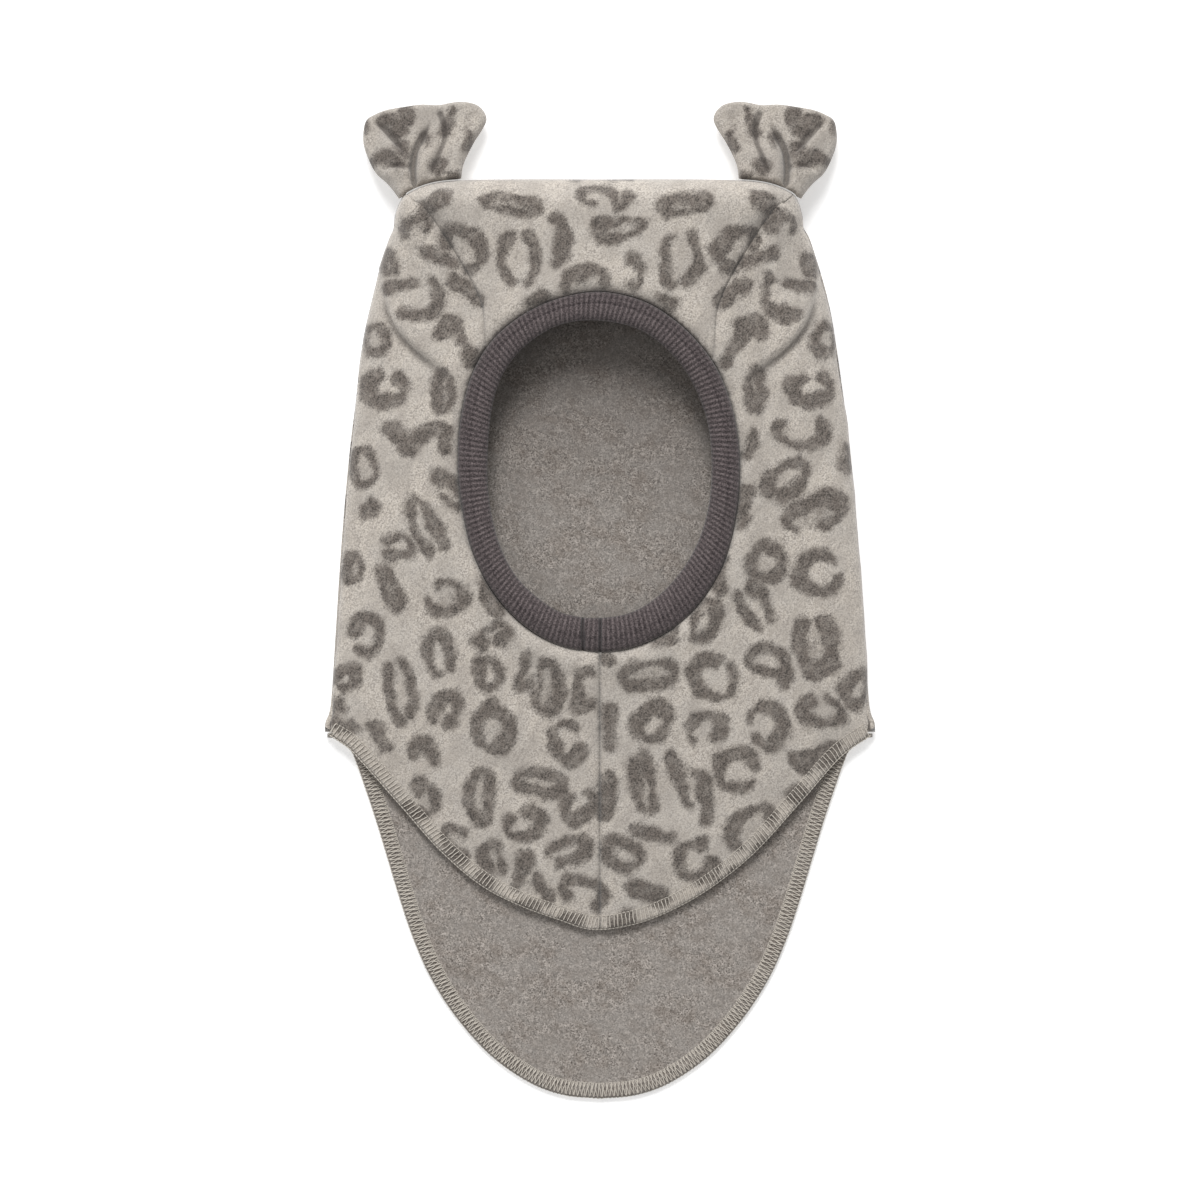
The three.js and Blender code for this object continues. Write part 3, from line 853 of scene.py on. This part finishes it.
def jersey_right_side(name="leopard_jersey", painted_shade=0.0):
    n = Nodes(name, 0.95, 0.3)
    fibres = n.noise(1500, 3)
    nap = n.noise(2500, 2)
    hairs = n.noise(900, 2, (1, 0.28, 1), 0.6)
    tufts = n.noise(420, 3)
    drift = n.noise(60, 3)
    frayed = n.math("MULTIPLY_ADD", n.math("SUBTRACT", nap, 0.5), 3.4, n.field("print"))
    frayed = n.math("MULTIPLY_ADD", n.math("SUBTRACT", hairs, 0.5), 1.4, frayed)
    frayed = n.math("MULTIPLY_ADD", n.math("SUBTRACT", tufts, 0.5), 2.2, frayed)
    dark = n.ramp(frayed, -1.8, 1.2, 0.92, 0.0)
    dark = n.math("MULTIPLY", dark, n.ramp(n.noise(260, 3), 0.34, 0.56, 0.8, 1.0))
    patchy = n.ramp(n.math("ADD", nap, tufts), 0.8, 1.2, 0.15, 1.0)
    middle = n.math("MULTIPLY", n.field("print_middle"), patchy)
    dark = n.math("MAXIMUM", dark, middle)
    light = n.mix(n.ramp(fibres, 0.36, 0.64), srgb(154, 146, 138), srgb(215, 207, 197))
    light = n.mix(n.ramp(hairs, 0.4, 0.6, 0.0, 0.45), light, srgb(204, 195, 183))
    light = n.mix(n.ramp(drift, 0.35, 0.65, 0.0, 0.35), light, srgb(178, 173, 167))
    streaks = n.noise(150, 3, (1, 0.5, 1), 0.6)
    light = n.mix(n.ramp(streaks, 0.42, 0.66, 0.0, 0.4), light, srgb(160, 152, 144))
    brown = n.mix(n.ramp(fibres, 0.32, 0.68), srgb(44, 39, 35), srgb(118, 109, 102))
    brown = n.mix(n.ramp(hairs, 0.4, 0.66, 0.0, 0.35), brown, srgb(118, 108, 100))
    colour = n.mix(dark, light, brown)
    # Painted shade: the colour darkens where the cloth lies in below its surroundings, in folds, seams and
    # creases.
    colour = n.mix(n.ramp(n.field("hollow"), 0.05, 1.1, 0.0, 0.62), colour, PAINTED_SHADE_COLOUR)
    # Painted shade over the whole piece, by the amount this function is given.
    colour = n.mix(painted_shade, colour, PAINTED_SHADE_COLOUR)
    height = n.math("MULTIPLY_ADD", tufts, 0.8, n.math("ADD", fibres, hairs))
    return n.finish(colour, height, 0.22, 0.0005)


def jersey_wrong_side():
    n = Nodes("jersey_wrong_side", 0.95, 0.2)
    fibres = n.noise(1700, 3)
    hairs = n.noise(1100, 2, (1, 0.4, 1), -0.7)
    tufts = n.noise(600, 3)
    patches = n.noise(170, 3, (1, 1.5, 1), 0.5)
    drift = n.noise(48, 3, (1, 1.6, 1))
    speckle = n.mix(n.ramp(fibres, 0.34, 0.66), srgb(84, 77, 72), srgb(202, 193, 185))
    colour = n.mix(n.ramp(hairs, 0.36, 0.64, 0.0, 0.5), speckle, srgb(166, 158, 150))
    colour = n.mix(n.ramp(tufts, 0.35, 0.65, 0.0, 0.5), colour, srgb(120, 115, 110))
    colour = n.mix(n.ramp(patches, 0.42, 0.66, 0.0, 0.34), colour, srgb(116, 104, 94))
    colour = n.mix(n.ramp(drift, 0.4, 0.62, 0.0, 0.35), colour, srgb(158, 153, 148))
    # Painted shade from the hollow field, darker towards the crown.
    colour = n.mix(n.ramp(n.field("hollow"), 0.0, 1.0, 0.0, 0.5), colour, srgb(58, 52, 48))
    height = n.math("MULTIPLY_ADD", tufts, 0.5, n.math("ADD", fibres, hairs))
    return n.finish(colour, height, 0.18, 0.0005)


def rib_knit():
    n = Nodes("rib_knit", 0.85, 0.2)
    fibres = n.noise(1600, 3)
    tufts = n.noise(500, 2)
    rib = n.field("rib")
    # The groove colour is the yarn's colour in painted shade; the rib field picks between the two.
    ridge = n.mix(n.ramp(fibres, 0.3, 0.7), srgb(66, 57, 58), srgb(128, 117, 117))
    groove = n.mix(n.ramp(fibres, 0.3, 0.7), srgb(40, 34, 35), srgb(74, 66, 67))
    colour = n.mix(rib, groove, ridge)
    return n.finish(colour, n.math("ADD", fibres, tufts), 0.3, 0.0004)


def thread_material():
    n = Nodes("overlock_thread", 0.7, 0.2)
    fibres = n.noise(2500, 2)
    colour = n.mix(fibres, srgb(182, 174, 163), srgb(228, 221, 210))
    return n.finish(colour, fibres, 0.2, 0.0002)


JERSEY = [jersey_right_side(), jersey_wrong_side()]
EAR_JERSEY = jersey_right_side("leopard_jersey_ears", EAR_PAINTED_SHADE)
RIB = rib_knit()
THREAD = thread_material()

# ---- Build: panels ----
left = front_panel("cloth_front_left", 1, JERSEY)
right = front_panel("cloth_front_right", -1, JERSEY)
back = back_panel("cloth_back", JERSEY)

# ---- Face band ----
RIBS = 184
SAMPLES_PER_RIB = 8
CREASE_AT = 0.40  # share of the band's width, from the cloth
SEWN_CREASE_AT = 0.18
CREASE_WIDTH = 0.03
JOIN_AT = (-7.1, 0.0)  # x of the two creases where the strip's ends are joined
JOIN_WIDTH = 0.6
JOIN_DEPTH = 1.7
JOIN_SHADE = 1.2
RIB_DEPTH = 0.28
BAND_TOP = (  # share of the width, height above the strip's middle
    (0.0, 0.2),
    (0.05, 1.3),
    (0.16, 2.3),
    (0.34, 2.9),
    (0.5, 3.2),
    (0.7, 3.0),
    (0.86, 2.2),
    (0.95, 1.3),
    (1.0, 0.0),
)


def face_band():
    count = RIBS * SAMPLES_PER_RIB
    outer = smooth_path(FACE_EDGE, 0.5, closed=True)
    inner = smooth_path(BAND_EDGE, 0.5, closed=True)
    # The strip's two edges run side by side: each rib starts and ends at the same share of the way round.
    start, end = (np.vstack([p, p[:1]]) for p in (outer, inner))
    start = even(start, np.linalg.norm(np.diff(start, axis=0), axis=1).sum() / count)[:count]
    end = even(end, np.linalg.norm(np.diff(end, axis=0), axis=1).sum() / count)[:count]
    start = start + (end - start) * 0.02
    base = upper_surface(start) - WALL / 2
    for _ in range(12):
        base = (base + np.roll(base, 4) + np.roll(base, -4)) / 3
    phase = np.arange(count) / SAMPLES_PER_RIB * 2 * math.pi
    rib = 0.5 + 0.5 * np.cos(phase)
    tops = np.linspace(0, 1, 27)
    section = [(s, 1.0) for s in tops] + [(s, -1.0) for s in tops[-2:0:-1]]
    rings, painted_shade = [], []
    low = start[:, 1] < FACE_MIDDLE
    for share, side in section:
        at = start + share * (end - start)
        height = curve(BAND_TOP, np.array([share]))[0] * side
        grown = RIB_DEPTH * (0.7 + 0.3 * np.clip((share - CREASE_AT) * 6, 0, 1)) * (rib - 0.5)
        edge = min(1.0, 6 * share, 12 * (1 - share) + 0.35)
        fold = 0.35 + 0.65 * np.clip((at[:, 1] - 60.0) / 50.0, 0, 1)
        creases = [0.5 * bell(share - place, CREASE_WIDTH) for place in (CREASE_AT, SEWN_CREASE_AT)]
        crease = fold * sum(creases)
        join = sum(low * bell(at[:, 0] - x, JOIN_WIDTH) for x in JOIN_AT)
        lift = grown * edge * 1.6 - (crease * edge + JOIN_DEPTH * join) * (side > 0)
        rings.append(np.column_stack([at, base + height + lift * side]))
        # Painted shade in the rib field: its grooves, creases, dotted marks along the crease and the joins
        # are darker. The part by the cloth is darker as a whole.
        dotted = 0.5 * bell(share - CREASE_AT, 0.035) * (1 - rib)
        ridge = np.clip(0.8 * rib + 0.2 - 0.7 * crease - dotted - JOIN_SHADE * join, 0, 1)
        painted_shade.append(ridge * (0.8 if share < CREASE_AT else 1.0))
    points = np.stack(rings, axis=1)
    columns = len(section)
    i = np.arange(count)[:, None]
    k = np.arange(columns)[None]
    n, m = (i + 1) % count, (k + 1) % columns
    corners = [i * columns + k, n * columns + k, n * columns + m, i * columns + m]
    quads = np.stack(corners, axis=-1).reshape(-1, 4)
    fields = {"rib": np.stack(painted_shade, axis=1).reshape(-1)}
    return add_mesh("rib_band", points.reshape(-1, 3), quads, [RIB], None, fields)


band = face_band()

# ---- Ears ----
EAR_OUTLINE = (  # x, y, round the left ear from its inner foot
    (57.7, 175.2),
    (56.7, 181.5),
    (52.9, 189.8),
    (48.8, 196.5),
    (47.3, 200.6),
    (49.0, 204.5),
    (52.5, 206.9),
    (58.0, 207.8),
    (62.5, 207.3),
    (67.3, 206.4),
    (74.6, 206.6),
    (81.3, 205.7),
    (88.8, 204.4),
    (93.8, 202.5),
    (97.2, 200.3),
    (98.5, 196.5),
    (98.6, 190.2),
    (96.4, 183.5),
    (93.2, 177.6),
    (89.0, 173.7),
    (86.0, 170.2),
    (83.6, 166.8),
)
EAR_VALLEY = (  # x, y
    (76.8, 170.5),
    (77.2, 175.5),
    (76.9, 181.0),
    (75.8, 186.5),
    (73.6, 191.0),
    (71.0, 196.0),
    (69.0, 200.0),
)
EAR_FLAP = (  # x, y
    (96.0, 199.5),
    (91.5, 196.0),
    (87.0, 191.0),
    (82.5, 186.5),
    (79.8, 184.0),
)
EAR_SHELF = (  # x, y
    (91.5, 176.3),
    (87.5, 178.9),
    (82.5, 179.6),
    (79.2, 178.2),
    (77.6, 174.6),
)
EAR_LOBE = (  # x, y
    (70.5, 177.0),
    (67.5, 184.5),
    (65.0, 190.5),
    (64.6, 196.5),
    (66.4, 202.0),
)
EAR_TUCK = (  # x, y
    (51.6, 203.9),
    (54.4, 205.2),
    (56.8, 203.6),
)


def ear(name, side, materials):
    """Two layers of cloth gathered at the foot: a deep valley up the middle, with a fold each side of it."""
    outline = smooth_path(EAR_OUTLINE, 0.9)
    foot = half_edge[(half_edge[:, 1] > outline[-1, 1]) & (half_edge[:, 0] > 58.5)] + np.array([0.25, 0.35])
    outline = np.vstack([outline, foot])
    flat, triangles = net(outline[::-1], 0.9)
    d = near_path(flat, np.vstack([outline, outline[:1]]))[0]
    away = near_path(flat, foot)[0]
    middle = 5.2 + 8.6 * np.exp(-away / 17.0)
    half = 2.2 + 2.6 * bell(away - 11, 13.0)
    body = quarter(d / half) * half
    valley, flap, shelf, lobe, tuck = (
        smooth_path(p, 0.8) for p in (EAR_VALLEY, EAR_FLAP, EAR_SHELF, EAR_LOBE, EAR_TUCK)
    )
    depth, _, along = near_path(flat, valley)
    relief = -4.5 * bell(depth, 1.3 + 2.4 * along) * np.clip(1.5 - 1.5 * along, 0, 1)
    relief += fold_over(flat, valley, 1.0, 3.0, 1.8, 6.5) * np.clip(1.3 - along, 0, 1)
    relief += fold_over(flat, flap, 1.0, 2.6, 2.0, 5.5) + fold_over(flat, shelf, 1.0, 2.0, 1.5, 5.0)
    relief += -1.4 * bell(near_path(flat, lobe)[0], 1.5)
    relief += fold_over(flat, tuck, -1.0, 1.2, 1.2, 2.6)
    relief += 0.6 * waves(flat, 9.0, 8.8)
    relief *= np.clip(d / 2.5, 0, 1)
    top = np.column_stack([flat, middle + body + relief])
    bottom = np.column_stack([flat, np.maximum(middle - body, 0.3)])
    points = np.vstack([top, bottom])
    both = np.vstack([triangles, triangles[:, ::-1] + len(flat)])
    points, both, kept = weld(points, both)
    cloth = np.vstack([flat, flat + (37.0, 12.0)])[kept]
    if side < 0:
        points = points * np.array([-1.0, 1.0, 1.0])
        both = both[:, ::-1]
    distance, dark = print_fields(cloth, EAR_MOTIFS, EAR_REPEAT)
    # Painted shade: the ears' hollows darken more strongly, and 0.15 is added all over.
    fields = {"print": distance, "print_middle": dark, "hollow": 1.3 * hollows(points, both, 22) + 0.15}
    return add_mesh(name, points, both, materials, None, fields)


ears = [
    ear("ear_cloth_left", 1, [EAR_JERSEY]),
    ear("ear_cloth_right", -1, [EAR_JERSEY]),
]

# ---- Overlocked hems ----
STITCH = 1.7  # along the hem
THREAD_SEED = 7
CROSSING_LEAN = (1.0, -1.6, 1.8)  # of each needle crossing, as a share of the hem's lean


def tube(path, radius, sides=5):
    """Points and faces of a closed round thread along a path; radius may change along it."""
    path = np.asarray(path, float)
    radius = np.broadcast_to(radius, len(path))
    way = np.gradient(path, axis=0)
    way /= np.maximum(np.linalg.norm(way, axis=1, keepdims=True), 1e-9)
    up = np.tile([0.0, 0.0, 1.0], (len(path), 1))
    up[np.abs(way[:, 2]) > 0.9] = (0.0, 1.0, 0.0)
    across = np.cross(way, up)
    across /= np.maximum(np.linalg.norm(across, axis=1, keepdims=True), 1e-9)
    up = np.cross(across, way)
    a = np.arange(sides) / sides * 2 * math.pi
    rings = path[:, None] + radius[:, None, None] * (
        across[:, None] * np.cos(a)[None, :, None] + up[:, None] * np.sin(a)[None, :, None]
    )
    points = np.vstack([rings.reshape(-1, 3), path[:1], path[-1:]])
    i = np.arange(len(path) - 1)[:, None] * sides
    k = np.arange(sides)[None]
    n = (k + 1) % sides
    quads = np.stack([i + k, i + n, i + sides + n, i + sides + k], axis=-1).reshape(-1, 4).tolist()
    last = (len(path) - 1) * sides
    for j in range(sides):
        m = (j + 1) % sides
        quads.append([len(points) - 2, m, j])
        quads.append([len(points) - 1, last + j, last + m])
    return points, quads


def add_threads(name, tubes):
    points, faces, base = [], [], 0
    for p, f in tubes:
        points.append(p)
        faces += [[v + base for v in face] for face in f]
        base += len(p)
    return add_mesh(name, np.vstack(points), faces, [THREAD])


def hem_frame(path, inward_sign):
    """A hem's stitch places and the way into the cloth at each."""
    at = even(path, STITCH)
    way = np.gradient(at, axis=0)
    way /= np.linalg.norm(way, axis=1, keepdims=True)
    return at, way, np.stack([-way[:, 1], way[:, 0]], axis=1) * inward_sign


def overlock(name, path, inward_sign, height, width, crossings, lean, radius, out):
    """Thread over a hem: looper threads that run from a needle line out to the edge, round it and back under
    the cloth, and a soft chain along the edge. height gives the cloth's upper face over plan points."""
    at, way, inward = hem_frame(path, inward_sign)
    count = len(at)
    rng = np.random.default_rng(THREAD_SEED)
    tubes = []

    def lay(plan, lift):
        return np.column_stack([plan, height(plan) + lift])

    for crossing in range(crossings):
        steps = []
        for share, lift, shift in (  # of the width, over the face, of the slant
            (1.0, -0.10, 0.0),
            (0.86, 0.28, 0.1),
            (0.5, 0.36, 0.5),
            (0.10, 0.34, 0.9),
            (-out / width, -0.8, 1.0),
            (0.1, -WALL - 0.2, 0.9),
            (0.9, -WALL - 0.1, 0.6),
        ):
            jitter = rng.normal(0, 0.06, (count, 2)) + rng.normal(0, 0.10, (count, 1)) * way
            slant = lean * CROSSING_LEAN[crossing] * shift + crossing * 0.36 + share * 0.04
            plan = at + inward * width * share + way * STITCH * slant + jitter
            steps.append(lay(plan, lift + 0.12 * crossing))
        zigzag = np.stack(steps, axis=1).reshape(-1, 3)
        tubes.append(tube(zigzag, radius * (1 + 0.3 * rng.random(len(zigzag)))))
    line = even(at + inward * width, STITCH / 4)
    dip = np.tile([0.12, 0.14, -0.05, -0.45], len(line) // 4 + 1)[: len(line)]
    tubes.append(tube(lay(line, dip), radius * 0.8))
    chain = even(at - inward * out * 0.6, STITCH / 4)
    swell = np.tile([1.4, 2.0, 1.6, 1.0], len(chain) // 4 + 1)[: len(chain)]
    sway = np.tile([0.0, 0.12, 0.08, -0.08], len(chain) // 4 + 1)[: len(chain)]
    tubes.append(tube(lay(chain, -0.7 + sway), radius * swell))
    return add_threads(name, tubes)


def front_face(plan):
    return upper_surface(plan) + upper_relief(plan)


def back_face(plan):
    return np.full(len(plan), WALL)


front_overlock = overlock("overlock_front_hem", front_hem[2:-2], 1.0, front_face, 5.4, 1, -0.35, 0.2, 0.35)
back_overlock = overlock("overlock_back_hem", BACK_HEM_PATH[4:-4], -1.0, back_face, 6.0, 3, 0.5, 0.16, 0.3)

# ---- Riding, and hiding the CAD parts ----
for piece in (left, right, back, band, *ears, front_overlock, back_overlock):
    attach(piece, "root")
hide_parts("front_panel_left")
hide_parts("front_panel_right")
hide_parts("back_panel")
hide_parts("face_band")
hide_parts("ear_left")
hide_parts("ear_right")

# ---- Floor, light and camera ----
FRAME_WIDTH = 0.500  # of the whole picture, at the cloth's height
CAMERA_HEIGHT = 2.2
CLOTH_HEIGHT = 0.008
SENSOR = 36.0
FLOOR_SIZE = 8
FLOOR_DROP = 0.0004
FLOOR_GREY = (0.93, 0.93, 0.93, 1)
FLOOR_GLOW = 0.36
WORLD_LIGHT = 0.42

bpy.ops.mesh.primitive_plane_add(size=FLOOR_SIZE, location=(0, 0, -FLOOR_DROP))
floor = bpy.context.object
floor.name = "floor"
paint = bpy.data.materials.new("floor_paper")
paint.use_nodes = True
shader = paint.node_tree.nodes["Principled BSDF"]
shader.inputs["Base Color"].default_value = FLOOR_GREY
shader.inputs["Roughness"].default_value = 0.9
shader.inputs["Specular IOR Level"].default_value = 0.1
shader.inputs["Emission Color"].default_value = (1, 1, 1, 1)
shader.inputs["Emission Strength"].default_value = FLOOR_GLOW
floor.data.materials.append(paint)

world = bpy.data.worlds.new("studio")
bpy.context.scene.world = world
world.use_nodes = True
world.node_tree.nodes["Background"].inputs[0].default_value = (1.0, 1.0, 1.0, 1)
world.node_tree.nodes["Background"].inputs[1].default_value = WORLD_LIGHT


def softbox(name, place, size, watts):
    light = bpy.data.lights.new(name, "AREA")
    light.size = size
    light.energy = watts
    lamp = bpy.data.objects.new(name, light)
    lamp.location = place
    lamp.rotation_mode = "QUATERNION"
    lamp.rotation_quaternion = (Vector((0, 0, 0)) - Vector(place)).to_track_quat("-Z", "Y")
    bpy.context.scene.collection.objects.link(lamp)


softbox("softbox_crown", (-0.3, 2.7, 2.75), 1.4, 108)
softbox("softbox_side", (-1.2, -0.3, 1.5), 1.0, 3)

lens = bpy.data.cameras.new("camera")
lens.sensor_width = SENSOR
lens.lens = SENSOR * (CAMERA_HEIGHT - CLOTH_HEIGHT) / FRAME_WIDTH
camera = bpy.data.objects.new("camera", lens)
camera.location = (0, 0, CAMERA_HEIGHT)
bpy.context.scene.collection.objects.link(camera)
bpy.context.scene.camera = camera
bpy.context.scene.view_settings.view_transform = "Standard"
